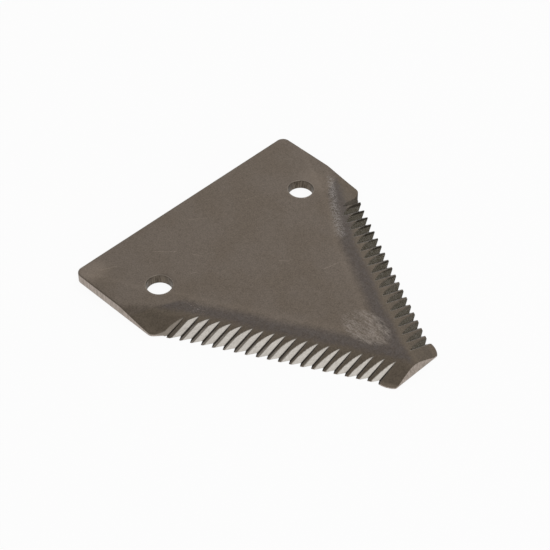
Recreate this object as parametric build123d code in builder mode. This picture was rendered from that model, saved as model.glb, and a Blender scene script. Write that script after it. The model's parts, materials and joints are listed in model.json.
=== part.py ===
from build123d import *
import os
from math import asin, atan, cos, degrees, radians, sin, tan

# Serrated knife section: one hardened steel plate, punched, bevelled and serrated.
# Millimetres. The origin lies midway between the two rivet holes, on the flat
# underside. +X runs across the section, +Y towards the nose, +Z up through the
# bevelled face.

# Plate, with lengths counted from the heel, which is its straight back edge
width = 76.0
length = 83.3
thickness = 2.65
heel_corner_radius = 2.2
top_edge_radius = 0.3

# Shoulder, where each parallel flank turns into its cutting edge
flank_length = 28.6
shoulder_step = 2.55
shoulder_rise = 2.2
shoulder_radius = 2.0

# Line of the tooth tips, by its lean and by the width that it would have at the nose
tip_line_angle = 28.86
tip_line_nose_width = 14.0

# Nose, a plain lobe with a thicker lip in front of the last tooth, and a leaning front face
nose_width = 19.0
nose_side_length = 4.3
nose_side_radius = 5.8
nose_corner_radius = 0.6
nose_lip_thickness = 0.35
nose_lean_angle = 20.0
nose_plain_length = 4.6

# Rivet holes
hole_diameter = 6.7
hole_spacing = 51.6
hole_setback = 18.75
hole_rim_radius = 0.2

# Flat bevel along each cutting edge, blended into the flat top by a wide arc
bevel_width = 6.85
edge_thickness = 0.12
bevel_blend_radius = 14.0

# Flat facet where the bevel runs out over the flank
facet_start = 17.2
facet_width = 11.9
facet_edge_thickness = 0.53

# Serrations: vee grooves square to the centre line, sloping down to the edge
tooth_pitch = 2.485
groove_start = 31.4
groove_angle = 115.0
groove_slope_angle = 21.3
notch_depth_at_shoulder = 1.45
notch_depth_at_nose = 0.95
first_notch_depth = 0.6

# Worked out from the sizes above
heel_y = -hole_setback
nose_y = heel_y + length
flank_x = width / 2
shoulder_y = heel_y + flank_length
edge_x = flank_x - shoulder_step
edge_y = shoulder_y + shoulder_rise
tip_x = tip_line_nose_width / 2
nose_x = nose_width / 2
nose_side_y = nose_y - nose_side_length
bevel_angle = degrees(atan((thickness - edge_thickness) / bevel_width))
groove_zone = length - nose_plain_length - groove_start
groove_count = int(groove_zone / tooth_pitch + 1e-6) + 1
clear = 2 * thickness


def edge_line_x(y):
    """Half width of the plate at y, on the straight line of the tooth tips."""
    return tip_x + (nose_y - y) * tan(radians(tip_line_angle))


def notch_depth(index):
    """Depth of one notch square to the edge; the first is shallow, the rest fade to the nose."""
    if index == 0:
        return first_notch_depth
    share = (index - 1) / max(groove_count - 2, 1)
    return notch_depth_at_shoulder + share * (notch_depth_at_nose - notch_depth_at_shoulder)


def groove_plane(index, overhang):
    """Plane square to one groove, set where its floor comes out above the flat top."""
    y = heel_y + groove_start + index * tooth_pitch
    slope = radians(groove_slope_angle)
    notch_x = edge_line_x(y) - notch_depth(index) / cos(radians(tip_line_angle))
    floor_x = notch_x - (thickness + overhang) / tan(slope)
    start = (floor_x, y, thickness + overhang)
    return Plane(origin=start, x_dir=(0, 1, 0), z_dir=(cos(slope), 0, -sin(slope)))


def half_block():
    """Right half of a rectangular blank, as wide and as long as the plate, with a round heel corner."""
    with BuildSketch(Plane.XY) as block:
        with BuildLine():
            Polyline((0, heel_y), (flank_x, heel_y), (flank_x, nose_y), (0, nose_y), close=True)
        make_face()
        fillet(block.vertices().group_by(Axis.X)[-1].sort_by(Axis.Y)[0], heel_corner_radius)
    return block.sketch


def nose_lobe():
    """Right half of the nose: a straight side, an arc that turns inwards, and a round front corner."""
    turn = degrees(asin(nose_side_length / nose_side_radius))
    with BuildSketch(Plane.XY) as lobe:
        with BuildLine():
            side = CenterArc((nose_x - nose_side_radius, nose_side_y), nose_side_radius, 0, turn)
            Polyline(side @ 1, (0, nose_y), (0, nose_side_y), side @ 0)
        make_face()
        fillet(lobe.vertices().group_by(Axis.Y)[-1].sort_by(Axis.X)[-1], nose_corner_radius)
    return lobe.sketch


def shoulder_limit():
    """Region that the flank, the round shoulder and the step behind the first tooth leave standing."""
    with BuildSketch(Plane.XY) as limit:
        with BuildLine():
            Polyline(
                (0, heel_y - clear),
                (flank_x, heel_y - clear),
                (flank_x, shoulder_y),
                (edge_x, edge_y),
                (edge_x, nose_y),
                (0, nose_y),
                close=True,
            )
        make_face()
        fillet(limit.vertices().group_by(Axis.X)[-1].sort_by(Axis.Y)[-1], shoulder_radius)
    return limit.sketch


def half_outline():
    """Right half of the plate's outline past the heel: flank, shoulder, line of tooth tips and nose."""
    with BuildSketch(Plane.XY) as outline:
        with BuildLine():
            Polyline(
                (0, heel_y - clear),
                (width, heel_y - clear),
                (width, edge_y),
                (edge_line_x(edge_y), edge_y),
                (tip_x, nose_y),
                (0, nose_y),
                close=True,
            )
        make_face()
        add(shoulder_limit(), mode=Mode.INTERSECT)
        add(nose_lobe())
    return outline.sketch


def bevel_stock():
    """Steel taken off by the bevel: all that lies above its slope, and above the shoulder facet."""
    angle = radians(tip_line_angle)
    along = Vector(-sin(angle), cos(angle), 0)
    inward = Vector(-cos(angle), -sin(angle), 0)
    start = Vector(tip_x, nose_y, 0) - along * 2 * length
    section = Plane(origin=start, x_dir=inward, z_dir=inward.cross(Vector(0, 0, 1)))
    slope = radians(bevel_angle)
    blend_end = bevel_width + bevel_blend_radius * tan(slope / 2)
    centre = (blend_end, thickness - bevel_blend_radius)
    outer = (-clear, edge_thickness - clear * tan(slope))
    with BuildPart() as stock:
        with BuildSketch(section):
            with BuildLine():
                blend = CenterArc(centre, bevel_blend_radius, 90, bevel_angle)
                Polyline(blend @ 1, outer, (-clear, thickness + clear), (blend_end, thickness + clear), blend @ 0)
            make_face()
        extrude(amount=3 * length, dir=along)
        split(bisect_by=facet_plane(), keep=Keep.TOP)
    return stock.part


def nose_lean_stock():
    """Steel in front of the nose's leaning front face."""
    reach = thickness + clear
    with BuildPart() as stock:
        with BuildSketch(Plane.YZ):
            with BuildLine():
                Polyline(
                    (nose_y, 0),
                    (nose_y - reach * tan(radians(nose_lean_angle)), reach),
                    (nose_y + clear, reach),
                    (nose_y + clear, 0),
                    close=True,
                )
            make_face()
        extrude(amount=width, both=True)
    return stock.part


def facet_plane():
    """Plane of the flat facet at the shoulder, facing up and out."""
    top = Vector(flank_x, heel_y + facet_start, thickness)
    low = Vector(flank_x, shoulder_y, facet_edge_thickness)
    inner = Vector(flank_x - facet_width, shoulder_y, thickness)
    return Plane(origin=top, x_dir=low - top, z_dir=(low - top).cross(inner - top))


def groove_stock(index):
    """Steel taken out by one vee groove."""
    spread = clear * tan(radians(groove_angle / 2))
    plane = groove_plane(index, top_edge_radius)
    run = (edge_line_x(plane.origin.Y) + clear - plane.origin.X) / cos(radians(groove_slope_angle))
    with BuildPart() as stock:
        with BuildSketch(plane):
            with BuildLine():
                Polyline((0, 0), (spread, clear), (-spread, clear), close=True)
            make_face()
        extrude(amount=run)
    return stock.part


def is_blunt_edge(edge):
    """True for the edges of the heel and the flank, and false for the cuts at x = 0 and at the nose."""
    middle = edge @ 0.5
    return middle.X > top_edge_radius and middle.Y < nose_y - top_edge_radius


bevel = bevel_stock()
nose_cut = nose_lean_stock()
grooves = [groove_stock(index) for index in range(groove_count)]

with BuildPart() as knife_section:
    add(half_block())
    extrude(amount=thickness)
    top = knife_section.faces().sort_by(Axis.Z)[-1]
    fillet(top.edges().filter_by(is_blunt_edge), top_edge_radius)
    add(half_outline())
    extrude(amount=thickness, mode=Mode.INTERSECT)
    with Locations((hole_spacing / 2, 0, thickness)):
        Hole(hole_diameter / 2)
    top = knife_section.faces().sort_by(Axis.Z)[-1]
    fillet(top.edges().filter_by(GeomType.CIRCLE).sort_by(SortBy.LENGTH)[-1], hole_rim_radius)
    add(bevel, mode=Mode.SUBTRACT)
    add(nose_lobe())
    extrude(amount=nose_lip_thickness)
    add(nose_cut, mode=Mode.SUBTRACT)
    for groove in grooves:
        add(groove, mode=Mode.SUBTRACT)
    mirror(about=Plane.YZ)

knife_section.part.label = "knife_section"

os.makedirs("parts", exist_ok=True)
export_step(knife_section.part, "parts/knife_section.step")
print(f"{groove_count} grooves a side, bevel angle {bevel_angle:.2f}")
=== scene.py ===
# %% [markdown]
# # A serrated knife section
#
# The object is one blade of a mower's knife bar: a flat plate of hardened steel with two rivet
# holes, two bevelled edges with saw teeth, and a short blunt nose. The frame holds the plate at
# its real size. This lesson works out a finer skin for it as one surface of two parameters,
# gives it the finish of ground and heat tinted steel, and lights it like a part on a white table.

# %% The frame
import json
import math
from types import SimpleNamespace

import bmesh
import bpy
import numpy as np
from mathutils import Matrix, Vector


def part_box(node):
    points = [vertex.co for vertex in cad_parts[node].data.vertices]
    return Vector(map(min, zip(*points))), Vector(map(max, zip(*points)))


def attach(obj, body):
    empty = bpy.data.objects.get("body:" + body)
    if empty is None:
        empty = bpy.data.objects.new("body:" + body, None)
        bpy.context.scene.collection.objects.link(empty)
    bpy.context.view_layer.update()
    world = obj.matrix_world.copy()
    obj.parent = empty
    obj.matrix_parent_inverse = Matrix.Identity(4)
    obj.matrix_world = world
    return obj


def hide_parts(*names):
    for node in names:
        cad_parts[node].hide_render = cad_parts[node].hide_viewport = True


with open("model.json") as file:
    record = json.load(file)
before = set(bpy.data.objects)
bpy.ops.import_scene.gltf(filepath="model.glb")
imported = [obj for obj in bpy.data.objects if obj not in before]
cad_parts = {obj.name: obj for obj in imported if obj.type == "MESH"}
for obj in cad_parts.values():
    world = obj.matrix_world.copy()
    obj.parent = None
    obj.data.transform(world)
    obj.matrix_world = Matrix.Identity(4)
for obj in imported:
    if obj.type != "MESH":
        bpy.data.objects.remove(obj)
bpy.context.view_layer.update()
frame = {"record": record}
low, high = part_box("knife_section")
mounts = {mount["name"]: mount for mount in frame["record"]["mounts"]}
MM = 0.001
print("plate, mm:", [round((b - a) / MM, 2) for a, b in zip(low, high)])

# %% [markdown]
# ## The camera
#
# A camera is placed by where it looks, from how far, and from which side. The lens is long, so
# the plate shows little perspective: its far heel looks almost as wide as its near nose. The
# small roll tips the picture by half a degree.

# %% Camera
VIEW_AZIMUTH = math.radians(44.37)
VIEW_ELEVATION = math.radians(44.77)
VIEW_ROLL = math.radians(0.586)
VIEW_DISTANCE = 438.3 * MM
LOOK_AT = Vector((0.59, 16.42, 0.0)) * MM
LENS = 111.335


def direction(azimuth, elevation):
    """Unit vector towards an azimuth, counted from +X towards +Y, and an elevation above the table."""
    level = math.cos(elevation)
    return Vector((level * math.cos(azimuth), level * math.sin(azimuth), math.sin(elevation)))


def place_camera():
    """Camera on a sphere round the point it looks at, turned by the roll about its own axis."""
    out = direction(VIEW_AZIMUTH, VIEW_ELEVATION)
    data = bpy.data.cameras.new("camera")
    data.lens = LENS
    data.clip_start = 0.01
    camera = bpy.data.objects.new("camera", data)
    turn = out.to_track_quat("Z", "Y").to_matrix() @ Matrix.Rotation(VIEW_ROLL, 3, "Z")
    camera.matrix_world = Matrix.Translation(LOOK_AT + out * VIEW_DISTANCE) @ turn.to_4x4()
    bpy.context.scene.collection.objects.link(camera)
    bpy.context.scene.camera = camera
    return camera


camera = place_camera()
print("camera at, mm:", [round(v / MM, 1) for v in camera.location])

# %% [markdown]
# ## Sizes
#
# What the frame knows is read from it: the plate's box and the rivet holes. The rest repeats the
# maker's sizes in millimetres, since a box says nothing of an edge's slope or a tooth's pitch.

# %% Sizes
HEEL_Y, NOSE_Y = low[1] / MM, high[1] / MM
FLANK_X = high[0] / MM
THICKNESS = (high[2] - low[2]) / MM
HOLE_X = mounts["rivet_hole_plus_x"]["pos_m"][0] / MM
HOLE_RADIUS = mounts["rivet_hole_plus_x"]["dims"]["r_mm"]

HEEL_CORNER = 2.2
SHOULDER_Y = HEEL_Y + 28.6
SHOULDER_STEP, SHOULDER_RISE, SHOULDER_ROUND = 2.55, 2.2, 2.0
TIP_X, TIP_ANGLE = 7.0, math.radians(28.86)
NOSE_HALF, NOSE_SIDE, NOSE_ARC, NOSE_ROUND = 9.5, 4.3, 5.8, 0.6
NOSE_LIP, NOSE_LEAN = 0.35, math.radians(20.0)
BEVEL_WIDTH, EDGE_THICKNESS, BEVEL_BLEND = 6.85, 0.12, 14.0
FACET_START, FACET_WIDTH, FACET_EDGE = 17.2, 11.9, 0.53
TOOTH_PITCH, GROOVE_COUNT = 2.485, 20
FIRST_GROOVE_Y = HEEL_Y + 31.4
GROOVE_SLOPE, WALL_LEAN = math.tan(math.radians(21.3)), math.radians(32.5)
WALL_SLOPE = math.tan(WALL_LEAN) * math.hypot(1.0, GROOVE_SLOPE)
NOTCH_FIRST, NOTCH_DEEP, NOTCH_SHALLOW = 0.6, 1.45, 0.95

EDGE_X, EDGE_Y = FLANK_X - SHOULDER_STEP, SHOULDER_Y + SHOULDER_RISE
TIP_TAN, TIP_COS = math.tan(TIP_ANGLE), math.cos(TIP_ANGLE)
BEVEL_SLOPE = (THICKNESS - EDGE_THICKNESS) / BEVEL_WIDTH
BLEND_END = BEVEL_WIDTH + BEVEL_BLEND * math.tan(math.atan(BEVEL_SLOPE) / 2)
groove_y = FIRST_GROOVE_Y + TOOTH_PITCH * np.arange(GROOVE_COUNT)
print("bevel leans", round(math.degrees(math.atan(BEVEL_SLOPE)), 2), "degrees")

# %% [markdown]
# ## The plate's outline
#
# The plate is wide at the heel and narrows to the nose, so one number for each y says it all:
# the half width. The teeth are in it too. A vee groove that slopes down through the edge leaves
# a notch whose sides rise straight from its deepest point, and the half width is the least of
# the straight edge and all the notches. Every edge keeps a land, a narrow blunt face, which is
# also the least thickness of the plate.

# %% Outline
LAND = 0.03


def edge_x(y):
    """Half width along the straight line of the tooth tips: it grows evenly from the nose back."""
    return TIP_X + (NOSE_Y - y) * TIP_TAN


def notch_x():
    """Half width at the bottom of each notch: the edge less the notch's depth, square to the edge."""
    depth = np.linspace(NOTCH_DEEP, NOTCH_SHALLOW, GROOVE_COUNT - 1)
    depth = np.concatenate(([NOTCH_FIRST], depth))
    return edge_x(groove_y) - depth / TIP_COS


def arc_x(y, centre_x, centre_y, radius):
    """Half width along a circle, held at its widest short of the centre."""
    rise = np.clip(y - centre_y, 0.0, radius)
    return centre_x + np.sqrt(radius**2 - rise**2)


def nose_x(y):
    """Half width of the nose: straight, then an arc that turns inwards, then the round front corner."""
    centre_x, centre_y = NOSE_HALF - NOSE_ARC, NOSE_Y - NOSE_SIDE
    inner, corner_y = NOSE_ARC - NOSE_ROUND, NOSE_Y - NOSE_ROUND
    corner_x = centre_x + math.sqrt(inner**2 - (corner_y - centre_y) ** 2)
    meet_y = centre_y + (corner_y - centre_y) * NOSE_ARC / inner
    side = arc_x(y, centre_x, centre_y, NOSE_ARC)
    return np.where(y < meet_y, side, arc_x(y, corner_x, corner_y, NOSE_ROUND))


def blank_x(y):
    """Half width before the teeth are cut: flank, rounded heel corner, shoulder, edge, nose."""
    heel = np.clip(HEEL_CORNER - (y - HEEL_Y), 0.0, HEEL_CORNER)
    flank = FLANK_X - HEEL_CORNER + np.sqrt(HEEL_CORNER**2 - heel**2)
    turn = math.atan2(SHOULDER_STEP, SHOULDER_RISE)
    start_y = SHOULDER_Y - SHOULDER_ROUND * math.tan(turn / 2)
    corner_y = np.minimum(y, start_y + SHOULDER_ROUND * math.sin(turn))
    corner = arc_x(corner_y, FLANK_X - SHOULDER_ROUND, start_y, SHOULDER_ROUND)
    step = EDGE_X + np.clip(EDGE_Y - y, 0.0, None) * math.tan(turn)
    plate = np.minimum(flank, np.minimum(corner, step))
    plate = np.where(y > EDGE_Y, np.minimum(step, edge_x(y)), plate)
    return np.where(y > NOSE_Y - NOSE_SIDE, np.maximum(plate, nose_x(y)), plate)


def soft_min(a, b, width):
    """The smaller of a and b, rounded over within width of where they meet."""
    near = np.clip(1.0 - np.abs(a - b) / width, 0.0, 1.0)
    return np.minimum(a, b) - near * near * width / 4.0


def soft_max(a, b, width):
    """The larger of a and b, rounded over within width of where they meet."""
    return -soft_min(-a, -b, width)


NOTCH_X = notch_x()


def half_width(y):
    """Half width of the toothed plate: the blank, cut back by every notch that reaches y."""
    sides = (WALL_SLOPE * np.abs(y[:, None] - groove_y) - LAND) / GROOVE_SLOPE
    return np.minimum(blank_x(y), (NOTCH_X + sides).min(axis=1))


# %% [markdown]
# ## The top face
#
# The top is flat over the heel and along the middle. Towards each cutting edge a wide arc turns
# it into a flat bevel, and near the shoulder a facet ends that bevel. Each groove is a vee trough
# with a straight floor that slopes down to the edge. A real cutter takes away whatever is above
# it, so the finished height is the least of the plate, its bevel and all the troughs.
#
# Two things keep it from looking drawn with a ruler. The bevel swells by a few tenths of a
# millimetre, most a third of the way in, and where two faces meet the crease is rounded over.

# %% Height of the top
SWELL_NOSE, SWELL_SHOULDER = 0.1, 0.3
SWELL_PEAK = 27 / 4
MIDDLE_ROUND = 2.0
FACET_SOFT, LIP_SOFT, TOP_SOFT, LEAN_SOFT = 0.12, 0.2, 0.06, 0.1
LIP_RUN, FLOOR_ROUND = 0.2, 0.02
FAR_BELOW = -1.0


def facet_height(x, y):
    """Plane through the flank's top at its start, the shoulder's thin corner, and a point inboard."""
    run = SHOULDER_Y - HEEL_Y - FACET_START
    fall = (THICKNESS - FACET_EDGE) / run
    return THICKNESS - fall * (y - HEEL_Y - FACET_START) + fall * run / FACET_WIDTH * (FLANK_X - x)


def bevel_height(x, y):
    """Even slope up from the edge, then a wide arc to the flat top; it swells a little midway."""
    middle = np.where(x < MIDDLE_ROUND, (x**2 / MIDDLE_ROUND + MIDDLE_ROUND) / 2, x)
    inward = (edge_x(y) - middle) * TIP_COS
    short = np.clip(BLEND_END - inward, 0.0, BEVEL_BLEND * math.sin(math.atan(BEVEL_SLOPE)))
    blend = THICKNESS - BEVEL_BLEND + np.sqrt(BEVEL_BLEND**2 - short**2)
    height = np.minimum(blend, np.maximum(EDGE_THICKNESS + BEVEL_SLOPE * inward, FAR_BELOW))
    share = np.clip(inward / BLEND_END, 0.0, 1.0)
    back = np.clip((NOSE_Y - y) / (NOSE_Y - SHOULDER_Y), 0.0, 1.0)
    swell = SWELL_NOSE + (SWELL_SHOULDER - SWELL_NOSE) * back
    return height + swell * SWELL_PEAK * share * (1.0 - share) ** 2


def blank_height(x, y):
    """Height before the teeth are cut: the highest of bevel, facet and nose lip, within top and lean."""
    height = soft_max(bevel_height(x, y), facet_height(x, y), FACET_SOFT)
    lip = NOSE_LIP * np.clip((y - NOSE_Y + NOSE_SIDE) / LIP_RUN, 0.0, 1.0)
    height = soft_min(soft_max(height, lip, LIP_SOFT), THICKNESS, TOP_SOFT)
    return soft_min(height, (NOSE_Y - y) / math.tan(NOSE_LEAN), LEAN_SOFT)


def groove_height(x, y):
    """Height of the nearest vee trough's wall at each point."""
    floor = GROOVE_SLOPE * (NOTCH_X - x[..., None])
    spread = np.sqrt((y[..., None] - groove_y) ** 2 + FLOOR_ROUND**2)
    return (floor + WALL_SLOPE * spread).min(axis=-1)


def rounding(inset, radius):
    """How far a rounded-over rim lies below the face, at a distance inset from the rim."""
    reach = np.clip(radius - inset, 0.0, radius)
    return radius - np.sqrt(radius**2 - reach**2)


# %% [markdown]
# ## The grid
#
# Rows run across the plate at fixed y, so every groove's floor and every ridge lies exactly on a
# row. Columns run from the left rim to the right. They are close together in the toothed band
# and wide apart over the flat middle, where nothing happens.

# %% Rows and columns
ROWS_PER_TOOTH = 14
HEEL_ROWS, BACK_ROWS, SHOULDER_ROWS, NOSE_ROWS, LEAN_ROWS = 14, 34, 34, 18, 32
HEEL_ROWS_FROM, SHOULDER_ROWS_FROM = 0.45, 2.0
NOSE_ROWS_END, LEAN_ROWS_FROM = 1.2, 1.15
MIDDLE_COLUMNS, BAND_COLUMNS = 14, 64
BAND = 12.5
RIM_STEPS = np.array([0.0, 0.02, 0.06, 0.12, 0.2, 0.3])


def row_positions():
    """Values of y from heel to nose, close at the rims, in the corners and across every tooth."""
    heel = HEEL_Y + np.concatenate((RIM_STEPS, np.linspace(HEEL_ROWS_FROM, HEEL_CORNER, HEEL_ROWS)))
    first, last = groove_y[0] - TOOTH_PITCH / 2, groove_y[-1] + TOOTH_PITCH / 2
    back = np.linspace(heel[-1], SHOULDER_Y - SHOULDER_ROWS_FROM, BACK_ROWS)[1:]
    shoulder = np.linspace(back[-1], first, SHOULDER_ROWS)[1:]
    teeth = np.linspace(first, last, GROOVE_COUNT * ROWS_PER_TOOTH + 1)[1:]
    nose = np.linspace(last, NOSE_Y - NOSE_ROWS_END, NOSE_ROWS)[1:]
    lean = NOSE_Y - np.linspace(LEAN_ROWS_FROM, 0.0, LEAN_ROWS)
    return np.concatenate((heel, back, shoulder, teeth, nose, lean))


def steady_width(half):
    """Running mean of the half width over two teeth, so that the columns don't zigzag."""
    reach = ROWS_PER_TOOTH
    padded = np.pad(half, reach, mode="edge")
    return np.convolve(padded, np.full(2 * reach + 1, 1.0 / (2 * reach + 1)), mode="valid")


def column_positions(half):
    """Values of x from 0 to each row's half width: wide in the middle, close in the toothed band."""
    steady = steady_width(half)
    inner = np.maximum(steady - BAND, steady / 4)[:, None]
    rim = half[:, None] - RIM_STEPS[::-1]
    middle = inner * np.linspace(0.0, 1.0, MIDDLE_COLUMNS)[:-1]
    band = inner + (rim[:, :1] - inner) * np.linspace(0.0, 1.0, BAND_COLUMNS)[:-1]
    return np.concatenate((middle, band, rim), axis=1)


rows = row_positions()
half = half_width(rows)
right = column_positions(half)
grid_x = np.concatenate((-right[:, :0:-1], right), axis=1)
grid_y = np.repeat(rows[:, None], grid_x.shape[1], axis=1)
print("grid:", grid_x.shape[0], "rows by", grid_x.shape[1], "columns")

# %% [markdown]
# ## Heights and marks
#
# Every grid point now gets its height. The rim of the heel and of the flanks is rounded over, as
# stamping leaves it. Each point also gets three marks for the steel to read later: ground, on
# the walls of the grooves, shade, for painted shade and a painted dark reflection on those walls
# that face the heel, at half strength along each groove's floor, and sheared, on the nose's front
# face and round the whole rim.

# %% Heights on the grid
BLUNT_RADIUS, BLUNT_FADE = 0.3, 4.0
CUT_SOFT = 0.03
MARK_DEPTH, SHADE_RUN, SHEAR_RUN = 0.05, 0.18, 0.1
FIRST_GROUND = 0.3


def rim_inset(side, y):
    """Distance in from the heel, the flank or the round heel corner, whichever is nearest."""
    corner_x = side - (FLANK_X - HEEL_CORNER)
    corner_y = HEEL_Y + HEEL_CORNER - y
    corner = HEEL_CORNER - np.hypot(corner_x, corner_y)
    straight = np.minimum(half[:, None] - side, y - HEEL_Y)
    return np.where((corner_x > 0) & (corner_y > 0), corner, straight)


def top_height(x, y):
    """Finished height of each point, and how far below the ungrooved blank it lies."""
    side = np.abs(x)
    blunt = np.clip((SHOULDER_Y - y) / BLUNT_FADE, 0.0, 1.0)
    blank = blank_height(side, y) - blunt * rounding(rim_inset(side, y), BLUNT_RADIUS)
    cut = groove_height(side, y)
    return np.maximum(soft_min(blank, cut, CUT_SOFT), LAND), blank - cut


def skin_masks(x, y, depth):
    """Ground walls, painted shade on the walls among them that face the heel and along each floor, and
    sheared faces, each from 0 to 1.
    """
    nearest = np.clip(np.round((y - groove_y[0]) / TOOTH_PITCH), 0, GROOVE_COUNT - 1).astype(int)
    cut = np.clip(depth / MARK_DEPTH, 0.0, 1.0)
    ground = cut * np.where(nearest == 0, FIRST_GROUND, 1.0)
    # Painted shade: full on the walls that face the heel, half along each groove's floor.
    shade = np.clip(0.5 + (y - groove_y[nearest]) / SHADE_RUN, 0.0, 1.0) * cut
    side = np.abs(x)
    lean = (NOSE_Y - y) / math.tan(NOSE_LEAN)
    plate = np.maximum(bevel_height(side, y), NOSE_LIP)
    sheared = np.clip((plate - lean) / SHEAR_RUN, 0.0, 1.0)
    sheared[:, [0, -1]] = 1.0
    sheared[[0, -1]] = 1.0
    return {"ground": ground, "shade": shade, "sheared": sheared}


grid_z, depth = top_height(grid_x, grid_y)
masks = skin_masks(grid_x, grid_y, depth)
print("lowest and highest, mm:", round(float(grid_z.min()), 3), round(float(grid_z.max()), 3))

# %% [markdown]
# ## From grid to closed skin
#
# The grid is the top. Its rim points, dropped to the table, make a wall, and the underside is
# one wide quad for each pair of rows, since it is flat and needs nothing finer. The dropped
# points keep the mark for sheared steel and lose the other two, which would run across below.

# %% Mesh
def strip(first, second):
    """Quads that join two rows of point numbers, one quad for each pair of neighbours."""
    return np.stack((first[:-1], first[1:], second[1:], second[:-1]), axis=-1).reshape(-1, 4)


def build_skin(name):
    """Closed skin: the top grid, a wall down to z = 0 all round it, and a flat underside."""
    rim = np.zeros(grid_x.shape, bool)
    rim[[0, -1]] = True
    rim[:, [0, -1]] = True
    top = np.stack((grid_x, grid_y, grid_z), axis=-1)
    points = np.concatenate((top.reshape(-1, 3), top[rim] * (1.0, 1.0, 0.0)))
    upper = np.arange(grid_x.size).reshape(grid_x.shape)
    lower = np.zeros(grid_x.shape, int)
    lower[rim] = grid_x.size + np.arange(rim.sum())
    sheets = [strip(upper[:-1].T, upper[1:].T)]
    sheets += [strip(upper[end], lower[end]) for end in (0, -1)]
    sheets += [strip(upper[:, end], lower[:, end]) for end in (0, -1)]
    sheets += [strip(lower[1:-1, 0], lower[1:-1, -1])]
    faces = np.concatenate(sheets).tolist()
    faces.append([*lower[0], lower[1, -1], lower[1, 0]])
    faces.append([*lower[-1], lower[-2, -1], lower[-2, 0]])
    mesh = bpy.data.meshes.new(name)
    mesh.from_pydata((points * MM).tolist(), [], [[int(point) for point in face] for face in faces])
    for mask_name, mask in masks.items():
        below = mask[rim] * (mask_name == "sheared")
        layer = mesh.attributes.new(mask_name, "FLOAT", "POINT")
        layer.data.foreach_set("value", np.concatenate((mask.ravel(), below)))
    return mesh


def face_outwards(mesh):
    """Turns every face of a closed skin to look away from its inside."""
    build = bmesh.new()
    build.from_mesh(mesh)
    bmesh.ops.recalc_face_normals(build, faces=build.faces)
    build.to_mesh(mesh)
    build.free()


skin = bpy.data.objects.new("knife_section_skin", build_skin("knife_section_skin"))
bpy.context.scene.collection.objects.link(skin)
face_outwards(skin.data)
print("skin:", len(skin.data.vertices), "points,", len(skin.data.polygons), "faces")

# %% [markdown]
# ## The rivet holes
#
# A punch pulls the steel down round the hole's upper rim as it goes in, so the rim is rounded
# over. The cutter has that shape: a straight shank that flares out near the top. It is a curve
# turned about an axis, so it is again a surface of two parameters, the turn and the height.

# %% Holes
HOLE_RIM, HOLE_SIDES = 0.25, 96
FLARE_END, FLARE_STEPS = 78.0, 9
SHANK_START, FUNNEL = -1.0, 1.5
SHARP_ANGLE = math.radians(24.0)


def hole_cutter(name, centre_x):
    """Straight shank that flares along a quarter circle, just past the plate's flat top."""
    turn = np.linspace(0.0, math.tau, HOLE_SIDES, endpoint=False)
    lean = np.radians(np.linspace(0.0, FLARE_END, FLARE_STEPS))
    flare = THICKNESS - HOLE_RIM * np.sin(lean[-1]) + HOLE_RIM * np.sin(lean)
    radius = np.concatenate(([HOLE_RADIUS], HOLE_RADIUS + HOLE_RIM * (1.0 - np.cos(lean))))
    height = np.concatenate(([SHANK_START], flare))
    radius = np.append(radius, radius[-1] + FUNNEL)
    height = np.append(height, height[-1] + FUNNEL / math.tan(math.radians(FLARE_END)))
    ring_x = centre_x + radius[:, None] * np.cos(turn)
    ring_y = radius[:, None] * np.sin(turn)
    ring_z = np.repeat(height[:, None], HOLE_SIDES, axis=1)
    points = np.stack((ring_x, ring_y, ring_z), axis=-1).reshape(-1, 3)
    index = np.arange(len(points)).reshape(ring_x.shape)
    index = np.concatenate((index, index[:, :1]), axis=1)
    faces = strip(index[:-1].T, index[1:].T).tolist()
    faces += [index[0, :-1].tolist(), index[-1, :-1].tolist()]
    mesh = bpy.data.meshes.new(name)
    mesh.from_pydata((points * MM).tolist(), [], faces)
    cutter = bpy.data.objects.new(name, mesh)
    bpy.context.scene.collection.objects.link(cutter)
    face_outwards(mesh)
    return cutter


def cut_holes(piece):
    """Cuts both holes with Boolean modifiers and keeps the result as the piece's own mesh."""
    cutters = [hole_cutter("punch", side * HOLE_X) for side in (1, -1)]
    for cutter in cutters:
        cut = piece.modifiers.new("hole", "BOOLEAN")
        cut.operation, cut.solver, cut.object = "DIFFERENCE", "EXACT", cutter
    bpy.context.view_layer.update()
    evaluated = piece.evaluated_get(bpy.context.evaluated_depsgraph_get())
    mesh = bpy.data.meshes.new_from_object(evaluated)
    piece.modifiers.clear()
    piece.data = mesh
    for cutter in cutters:
        bpy.data.objects.remove(cutter)


cut_holes(skin)
skin.data.shade_smooth()
skin.data.set_sharp_from_angle(angle=SHARP_ANGLE)
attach(skin, "root")
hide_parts("knife_section")
print("with holes:", len(skin.data.vertices), "points,", len(skin.data.polygons), "faces")

# %% [markdown]
# ## Steel
#
# The blade was rolled, ground along its edges and hardened there with a flame or a coil. The
# flat is grey brown scale, the band beside the teeth is heat tinted, and the groove walls are
# fresh ground metal. One material mixes all of them from where a point lies on the plate, so it
# needs no picture. It takes many small nodes, and a few helpers keep the recipe short.

# %% A short hand for nodes
def add_node(tree, kind, inputs=None, **settings):
    """New node with its settings, and each named input linked to a socket or set to a value."""
    made = tree.nodes.new(kind)
    for name, value in settings.items():
        setattr(made, name, value)
    for name, value in (inputs or {}).items():
        socket = made.inputs[name]
        if isinstance(value, bpy.types.NodeSocket):
            tree.links.new(value, socket)
        else:
            socket.default_value = value
    return made


def maths(tree, operation, *values):
    """Result of one sum on numbers or sockets."""
    return add_node(tree, "ShaderNodeMath", dict(enumerate(values)), operation=operation).outputs[0]


def ramp(tree, value, start, end):
    """Smooth rise from 0 at start to 1 at end."""
    inputs = {"Value": value, "From Min": start, "From Max": end}
    return add_node(tree, "ShaderNodeMapRange", inputs, interpolation_type="SMOOTHSTEP").outputs["Result"]


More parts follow.
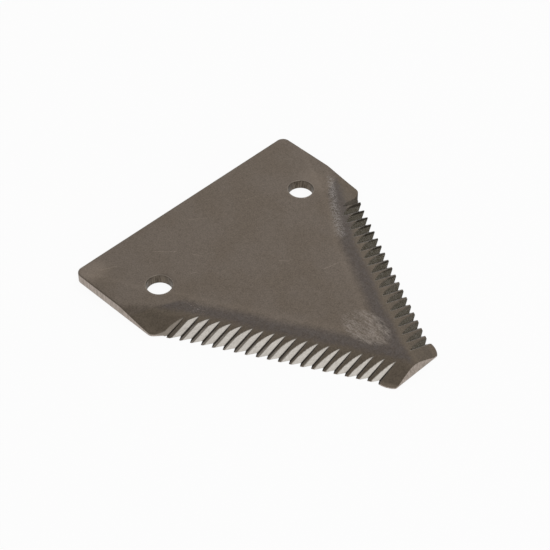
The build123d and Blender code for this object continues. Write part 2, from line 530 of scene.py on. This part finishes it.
def blend(tree, share, first, second):
    """Colour that goes from first to second as share goes from 0 to 1."""
    mix = add_node(tree, "ShaderNodeMix", data_type="RGBA")
    for number, value in ((0, share), (6, first), (7, second)):
        if isinstance(value, bpy.types.NodeSocket):
            tree.links.new(value, mix.inputs[number])
        else:
            mix.inputs[number].default_value = value
    return mix.outputs[2]


def vector(tree, operation, *values):
    """Result of one sum on vectors: a number for lengths and products, a vector for the rest."""
    made = add_node(tree, "ShaderNodeVectorMath", dict(enumerate(values)), operation=operation)
    return made.outputs["Value" if operation in ("LENGTH", "DOT_PRODUCT", "DISTANCE") else "Vector"]


def brighten(tree, colour, factor):
    """Colour times a number."""
    made = add_node(tree, "ShaderNodeVectorMath", {0: colour, "Scale": factor}, operation="SCALE")
    return made.outputs["Vector"]


def noise(tree, place, scale, detail=3.0, rough=0.5):
    """Cloudy noise from 0 to 1, with scale patches to a millimetre."""
    inputs = {"Vector": place, "Scale": scale, "Detail": detail, "Roughness": rough}
    return add_node(tree, "ShaderNodeTexNoise", inputs).outputs["Fac"]


def spot(tree, flat, centre, reach):
    """Soft round patch: 1 at its centre, and 0 from an ellipse of the given half sizes outwards."""
    away = vector(tree, "SUBTRACT", flat, (*centre, 0.0))
    away = vector(tree, "LENGTH", vector(tree, "DIVIDE", away, (*reach, 1.0)))
    return ramp(tree, away, 1.0, 0.25)


def streak(tree, flat, start, end, width):
    """Soft line: 1 on the stretch from start to end, and 0 from width away from it."""
    run = (end[0] - start[0], end[1] - start[1], 0.0)
    along = vector(tree, "SUBTRACT", flat, (*start, 0.0))
    share = vector(tree, "DOT_PRODUCT", along, tuple(part / (run[0] ** 2 + run[1] ** 2) for part in run))
    share = maths(tree, "MINIMUM", maths(tree, "MAXIMUM", share, 0.0), 1.0)
    share = add_node(tree, "ShaderNodeCombineXYZ", {"X": share, "Y": share}).outputs[0]
    nearest = vector(tree, "MULTIPLY", share, run)
    return ramp(tree, vector(tree, "DISTANCE", along, nearest), width, 0.0)


def total(tree, *terms):
    """Sum of numbers, each given as a socket and the weight that it counts with."""
    result = 0.0
    for socket, weight in terms:
        result = maths(tree, "MULTIPLY_ADD", socket, weight, result)
    return result


# %% [markdown]
# ## Where a point lies
#
# The recipe reads each point's place in millimetres and its distance in from the cutting edge.
# That distance wanders a little with the noises, since heat and scale never keep to a line. Six
# noises serve everything: three that are alike in all directions, and three drawn out into
# strokes along the way that a brush, a grinding wheel or a punch went over the steel.

# %% Places and noises
WANDER_MIDDLE = 2.5


def coordinates(tree):
    """Place in millimetres, its axes, the distance from the centre line, and the one from the edge."""
    place = add_node(tree, "ShaderNodeTexCoord").outputs["Object"]
    place = add_node(tree, "ShaderNodeMapping", {"Vector": place, "Scale": (1 / MM,) * 3}).outputs["Vector"]
    flat = vector(tree, "MULTIPLY", place, (1.0, 1.0, 0.0))
    axes = add_node(tree, "ShaderNodeSeparateXYZ", {"Vector": place}).outputs
    side = maths(tree, "ABSOLUTE", axes["X"])
    straight = maths(tree, "MULTIPLY_ADD", axes["Y"], -TIP_TAN, TIP_X + NOSE_Y * TIP_TAN)
    edge = maths(tree, "MULTIPLY", maths(tree, "SUBTRACT", straight, side), TIP_COS)
    at = SimpleNamespace(x=axes["X"], y=axes["Y"], z=axes["Z"])
    at.place, at.flat, at.side, at.edge = place, flat, side, edge
    return at


def steel_noises(tree, place):
    """Clouds, mottle and grain, and noise drawn out along Y, across the grooves' walls and along Z."""
    return SimpleNamespace(
        clouds=noise(tree, place, 0.1, 4.0),
        mottle=noise(tree, place, 0.8, 5.0, 0.65),
        grain=noise(tree, place, 2.6, 3.0, 0.6),
        brushed=noise(tree, vector(tree, "MULTIPLY", place, (2.2, 0.5, 1.0)), 1.0, 4.0, 0.6),
        honed=noise(tree, vector(tree, "MULTIPLY", place, (0.5, 3.5, 3.5)), 1.2, 4.0, 0.7),
        drawn=noise(tree, vector(tree, "MULTIPLY", place, (3.0, 3.0, 0.4)), 1.0, 3.0, 0.6),
    )


def wandering_edge(tree, at, noises):
    """Distance in from the edge, put off by the noises, and by a shift at -X towards the shoulder."""
    left = maths(tree, "MULTIPLY", ramp(tree, at.x, 1.0, -1.0), ramp(tree, at.y, 27.0, 7.0))
    wander = total(tree, (noises.clouds, 2.4), (noises.mottle, 1.6), (noises.brushed, 1.0), (left, 3.2))
    return maths(tree, "ADD", at.edge, maths(tree, "SUBTRACT", wander, WANDER_MIDDLE))


# %% [markdown]
# ## Scale and heat tint
#
# Rolled plate comes with a thin brown grey scale. Hardening heats only the edges, and the heat
# runs inwards and leaves a darker, bluer band, with a warmer part beside the teeth. The band
# stops where the facet begins.

# %% Scale and tint
SCALE_DARK, SCALE_LIGHT = (0.132, 0.107, 0.085, 1), (0.142, 0.117, 0.096, 1)
TINT_DARK, TINT_LIGHT = (0.092, 0.076, 0.065, 1), (0.100, 0.086, 0.078, 1)
TINT_WARM = (0.132, 0.107, 0.082, 1)
TINT_REACH, WARM_REACH = (12.4, 9.6), (8.4, 6.0)
FACET_WAY, FACET_REACH = (0.414, 0.911), (17.3, 18.4)


def scale_colour(tree, noises):
    """Grey brown scale, a little lighter here and there in large clouds."""
    return blend(tree, ramp(tree, noises.clouds, 0.35, 0.65), SCALE_DARK, SCALE_LIGHT)


def tinted_colour(tree, at, noises, edge, scale):
    """Scale, with the tinted band along each cutting edge, up to the line where the facet begins."""
    tint = blend(tree, ramp(tree, noises.mottle, 0.3, 0.7), TINT_DARK, TINT_LIGHT)
    tint = blend(tree, ramp(tree, edge, *WARM_REACH), tint, TINT_WARM)
    facet = total(tree, (at.side, FACET_WAY[0]), (at.y, FACET_WAY[1]))
    band = maths(tree, "MULTIPLY", ramp(tree, edge, *TINT_REACH), ramp(tree, facet, *FACET_REACH))
    return blend(tree, band, scale, tint)


# %% [markdown]
# ## Wear and painted highlights
#
# Handling leaves its own marks: a brushed patch behind the nose, lighter spots where the plate
# rubbed, and fine scratches. Two light streaks on the crest of the bevel at -X, and a faint light
# line along the inner edge of the tinted band, are painted highlights. Each is an ellipse or a
# straight line given by its place in millimetres, broken up by the grain.

# %% Wear and painted highlights
# STREAK_HIGHLIGHT and CREST_HIGHLIGHTS paint a highlight: light streaks on the bevel's crest at -X.
WORN_STEEL, STREAK_HIGHLIGHT = (0.225, 0.195, 0.17, 1), (0.25, 0.23, 0.215, 1)
TONGUE_PLACE, TONGUE_SCALE = (0.1, -6.1, 0.0), (0.2, 0.13, 1.0)
CREST_HIGHLIGHTS = (((-35.0, 2.4), (-27.5, 10.6), 1.6), ((-27.5, 10.6), (-20.6, 19.6), 2.0))
SPECK_PATCH = ((24.8, 12.8), (2.5, 3.5))
LIGHT_PATCHES = ((((34.5, -15.5), (6.0, 5.0)), 0.3), (((-31.0, 0.5), (5.0, 8.0)), 0.15))
SCRATCHES = (
    ((18.8, -10.0), (14.6, -5.8), 0.22),
    ((12.2, -2.2), (10.9, 0.2), 0.2),
    ((17.4, 2.6), (15.8, 3.6), 0.18),
    ((-8.0, 25.6), (-12.4, 26.6), 0.22),
    ((-2.0, 15.2), (-3.8, 17.4), 0.18),
    ((4.0, -12.5), (0.5, -9.8), 0.18),
    ((-12.0, -7.4), (-15.5, -6.2), 0.16),
    ((33.0, -14.5), (29.0, -12.6), 0.2),
)


def wear_and_highlight_colour(tree, at, noises, colour):
    """Colour with the brushed patch behind the nose and the painted highlight streaks along the bevel's
    crest.
    """
    mapping = {"Vector": at.flat, "Location": TONGUE_PLACE, "Scale": TONGUE_SCALE}
    tongue = add_node(tree, "ShaderNodeMapping", mapping).outputs[0]
    tongue = ramp(tree, vector(tree, "LENGTH", tongue), 1.05, 0.82)
    tongue = maths(tree, "MULTIPLY", tongue, ramp(tree, at.y, 37.5, 45.0))
    strokes = ramp(tree, total(tree, (noises.brushed, 0.7), (noises.grain, 0.3)), 0.36, 0.66)
    tongue = maths(tree, "MULTIPLY", tongue, maths(tree, "MULTIPLY", strokes, 0.9))
    colour = blend(tree, tongue, colour, WORN_STEEL)
    # Painted highlight: light streaks along the bevel's crest at -X, broken up by the grain.
    streaks = [streak(tree, at.flat, *ends) for ends in CREST_HIGHLIGHTS]
    streaks = maths(tree, "MULTIPLY", maths(tree, "MAXIMUM", *streaks), ramp(tree, noises.grain, 0.4, 0.62))
    return blend(tree, maths(tree, "MULTIPLY", streaks, 0.7), colour, STREAK_HIGHLIGHT)


def wear_and_highlight_lift(tree, at, noises, edge, texture):
    """Factor on the colour: the texture, raised by a painted highlight on the band's crest, in light spots
    and in scratches.
    """
    # Painted highlight: a faint light line along the inner edge of the tinted band.
    crest = maths(tree, "MULTIPLY", ramp(tree, edge, 11.6, 12.8), ramp(tree, edge, 14.2, 13.0))
    flecks = ramp(tree, noises.grain, 0.54, 0.68)
    specks = maths(tree, "MULTIPLY", spot(tree, at.flat, *SPECK_PATCH), flecks)
    lift = maths(tree, "ADD", texture, total(tree, (crest, 0.08), (specks, 1.2)))
    for patch, strength in LIGHT_PATCHES:
        lift = maths(tree, "MULTIPLY_ADD", spot(tree, at.flat, *patch), strength, lift)
    glint = maths(tree, "MULTIPLY", noises.grain, 0.7)
    for scratch in SCRATCHES:
        lift = maths(tree, "MULTIPLY_ADD", streak(tree, at.flat, *scratch), glint, lift)
    return lift


# %% [markdown]
# ## Steel that tools laid bare
#
# A punch leaves a light lip round each hole and dark strokes down its wall. Shears leave a pale
# rim, and the wheel leaves pale grooves. The groove walls that face the heel mirror the dark side
# of a room. Lamps alone make them too light here, so their mark also darkens their colour: painted
# shade and a painted dark reflection, at half strength along each groove's floor.

# %% Holes and cut faces
LIP_STEEL = (0.3, 0.26, 0.22, 1)
BORE_DARK, BORE_LIGHT = (0.075, 0.06, 0.045, 1), (0.17, 0.14, 0.11, 1)
SHEARED_DARK, SHEARED_LIGHT = (0.27, 0.23, 0.195, 1), (0.44, 0.375, 0.33, 1)
GROUND_DARK, GROUND_LIGHT = (0.285, 0.265, 0.24, 1), (0.37, 0.348, 0.32, 1)
# SHADE_BROWN is painted shade: the dark reflection and shade of the groove walls that face the heel.
SHADE_BROWN, SHADE_SHARE = (0.05, 0.04, 0.03, 1), 0.85


def mark(tree, name):
    """Value of one of the marks that the mesh's points carry."""
    return add_node(tree, "ShaderNodeAttribute", attribute_name=name).outputs["Fac"]


def hole_colour(tree, at, noises, colour):
    """Colour with the lip and the wall of each hole, and a share that is 1 on the wall."""
    across = add_node(tree, "ShaderNodeCombineXYZ", {"X": at.side, "Y": at.y}).outputs[0]
    away = vector(tree, "LENGTH", vector(tree, "SUBTRACT", across, (HOLE_X, 0.0, 0.0)))
    bore = ramp(tree, away, HOLE_RADIUS + 0.07, HOLE_RADIUS + 0.02)
    lip = maths(tree, "MULTIPLY", ramp(tree, away, HOLE_RADIUS + 0.4, HOLE_RADIUS + 0.2), 0.45)
    colour = blend(tree, lip, colour, LIP_STEEL)
    wall = blend(tree, ramp(tree, noises.drawn, 0.35, 0.65), BORE_DARK, BORE_LIGHT)
    return blend(tree, bore, colour, wall), bore


def cut_colour(tree, noises, colour, bare, ground):
    """Colour with the sheared rim where bare is 1, the ground grooves, and painted shade on their walls
    that face the heel.
    """
    sheared = maths(tree, "MULTIPLY", mark(tree, "sheared"), bare)
    pale = blend(tree, ramp(tree, noises.drawn, 0.3, 0.7), SHEARED_DARK, SHEARED_LIGHT)
    colour = blend(tree, sheared, colour, pale)
    fresh = blend(tree, ramp(tree, noises.honed, 0.3, 0.7), GROUND_DARK, GROUND_LIGHT)
    colour = blend(tree, ground, colour, fresh)
    # Painted shade on the groove walls that face the heel and along each floor.
    return blend(tree, maths(tree, "MULTIPLY", mark(tree, "shade"), SHADE_SHARE), colour, SHADE_BROWN)


# %% [markdown]
# ## The whole recipe
#
# The layers go on from the widest to the narrowest: scale, tint, wear with painted highlights,
# holes, then what the tools cut, with painted shade on the groove walls that face the heel. The
# underside rests on the bar and is plain scale. Ground walls are smoother than scale, and a
# shallow bump gives the steel its fine unevenness.

# %% Hardened steel
UNDERSIDE_REACH = (0.005, 0.03)
ROUGH_LEAST, ROUGH_MOTTLE, ROUGH_GROUND = 0.33, 0.2, -0.16
BUMP = {"Strength": 0.16, "Distance": 0.0002}


def hardened_steel():
    """Scale, tint, wear and cut faces laid over one another, with the roughness and bump of each."""
    material = bpy.data.materials.new("hardened_steel")
    material.use_nodes = True
    tree = material.node_tree
    tree.nodes.clear()
    at = coordinates(tree)
    noises = steel_noises(tree, at.place)
    edge = wandering_edge(tree, at, noises)
    texture = total(tree, (noises.mottle, 0.55), (noises.grain, 1.0), (noises.brushed, 0.2))
    texture = maths(tree, "ADD", texture, 0.125)

    scale = scale_colour(tree, noises)
    colour = wear_and_highlight_colour(tree, at, noises, tinted_colour(tree, at, noises, edge, scale))
    colour = brighten(tree, colour, wear_and_highlight_lift(tree, at, noises, edge, texture))
    colour, bore = hole_colour(tree, at, noises, colour)
    above = ramp(tree, at.z, *UNDERSIDE_REACH)
    colour = blend(tree, above, brighten(tree, scale, texture), colour)
    bare = maths(tree, "MULTIPLY", above, maths(tree, "SUBTRACT", 1.0, bore))
    ground = mark(tree, "ground")
    colour = cut_colour(tree, noises, colour, bare, ground)

    rough = maths(tree, "MULTIPLY_ADD", noises.mottle, ROUGH_MOTTLE, ROUGH_LEAST)
    rough = maths(tree, "MULTIPLY_ADD", ground, ROUGH_GROUND, rough)
    height = total(tree, (noises.grain, 0.5), (noises.mottle, 0.6), (noises.honed, 0.1))
    bump = add_node(tree, "ShaderNodeBump", {"Height": height, **BUMP}).outputs["Normal"]
    inputs = {"Base Color": colour, "Roughness": rough, "Metallic": 1.0, "Normal": bump}
    shader = add_node(tree, "ShaderNodeBsdfPrincipled", inputs)
    add_node(tree, "ShaderNodeOutputMaterial", {"Surface": shader.outputs[0]})
    return material


skin.data.materials.clear()
skin.data.materials.append(hardened_steel())
print("steel:", len(skin.data.materials[0].node_tree.nodes), "nodes")

# %% [markdown]
# ## The floor
#
# The floor is a plain pale sheet. What the camera and mirror-like metal see of it is mostly its
# own plain white, and a part of it is lit, so a little of the blade's shadow stays. It lies a
# hair below the blade, so that the two never share a height.

# %% Floor
FLOOR_WHITE = 0.92
FLOOR_HALF, FLOOR_DROP = 3.0, 0.05 * MM


def pale_floor():
    """Pale diffuse sheet, mostly plain white to the camera, to gloss and to glass."""
    material = bpy.data.materials.new("pale_floor")
    material.use_nodes = True
    tree = material.node_tree
    tree.nodes.clear()
    ray = add_node(tree, "ShaderNodeLightPath")
    seen = maths(tree, "ADD", ray.outputs["Is Camera Ray"], ray.outputs["Is Glossy Ray"])
    seen = maths(tree, "ADD", seen, ray.outputs["Is Transmission Ray"])
    share = maths(tree, "MULTIPLY", maths(tree, "MINIMUM", seen, 1.0), FLOOR_WHITE)
    matt = add_node(tree, "ShaderNodeBsdfDiffuse", {"Color": (0.9, 0.9, 0.9, 1)})
    plain = add_node(tree, "ShaderNodeEmission", {"Color": (1, 1, 1, 1), "Strength": 1.0})
    mix = add_node(tree, "ShaderNodeMixShader", {"Fac": share})
    tree.links.new(matt.outputs[0], mix.inputs[1])
    tree.links.new(plain.outputs[0], mix.inputs[2])
    add_node(tree, "ShaderNodeOutputMaterial", {"Surface": mix.outputs[0]})
    return material


def lay_floor():
    """One large square round the origin, just below the table's height of 0."""
    ends = (-FLOOR_HALF, FLOOR_HALF)
    corners = [(x, y, -FLOOR_DROP) for y in ends for x in ends]
    mesh = bpy.data.meshes.new("floor")
    mesh.from_pydata(corners, [], [(0, 1, 3, 2)])
    mesh.materials.append(pale_floor())
    sheet = bpy.data.objects.new("floor", mesh)
    bpy.context.scene.collection.objects.link(sheet)
    return sheet


floor = lay_floor()
print("floor:", 2 * FLOOR_HALF, "m wide")

# %% [markdown]
# ## Lamps
#
# Steel shows its lamps more than its own colour. There are two large soft boxes, one beyond the
# nose and one behind the heel at -X, so that the bevels and both kinds of groove wall differ.

# %% Lamps
def area_lamp(name, azimuth, elevation, distance, size, power):
    """Square soft box on a sphere round the blade, turned to face it; the angles are in degrees."""
    out = direction(math.radians(azimuth), math.radians(elevation))
    data = bpy.data.lights.new(name, "AREA")
    data.size = size
    data.energy = power
    lamp = bpy.data.objects.new(name, data)
    turn = out.to_track_quat("Z", "Y").to_matrix()
    lamp.matrix_world = Matrix.Translation(out * distance) @ turn.to_4x4()
    bpy.context.scene.collection.objects.link(lamp)
    return lamp


lamps = [
    area_lamp("front_box", 85.0, 48.0, 0.9, 0.6, 1.4),
    area_lamp("back_box", 215.0, 38.0, 0.9, 0.9, 1.6),
]
print("lamps:", [lamp.name for lamp in lamps])

# %% [markdown]
# ## The world
#
# The world is what the steel mirrors besides the lamps: a grey room with one dark, warm corner,
# placed so that the grooves at -X look into it. Low down it is white like the floor, so that a
# low view shows no band between the two.

# %% World
ROOM_GREY, DARK_GREY = (0.6, 0.6, 0.6, 1), (0.1, 0.085, 0.045, 1)
HORIZON_WHITE = (1.0, 1.0, 1.0, 1)
DARK_AZIMUTH, DARK_ELEVATION = math.radians(150.0), math.radians(15.0)
DARK_REACH, HORIZON_REACH = (0.79, 0.93), (0.18, 0.12)


def studio_world():
    """Grey room, white low down like the floor, with a dark corner for polished steel to mirror."""
    world = bpy.data.worlds.new("studio")
    world.use_nodes = True
    tree = world.node_tree
    way = add_node(tree, "ShaderNodeTexCoord").outputs["Generated"]
    centre = direction(DARK_AZIMUTH, DARK_ELEVATION)
    corner = ramp(tree, vector(tree, "DOT_PRODUCT", way, centre), *DARK_REACH)
    height = add_node(tree, "ShaderNodeSeparateXYZ", {"Vector": way}).outputs["Z"]
    room = blend(tree, corner, ROOM_GREY, DARK_GREY)
    room = blend(tree, ramp(tree, height, *HORIZON_REACH), room, HORIZON_WHITE)
    tree.links.new(room, tree.nodes["Background"].inputs["Color"])
    return world


bpy.context.scene.world = studio_world()
bpy.context.scene.view_settings.view_transform = "Standard"
print("world:", bpy.context.scene.world.name)
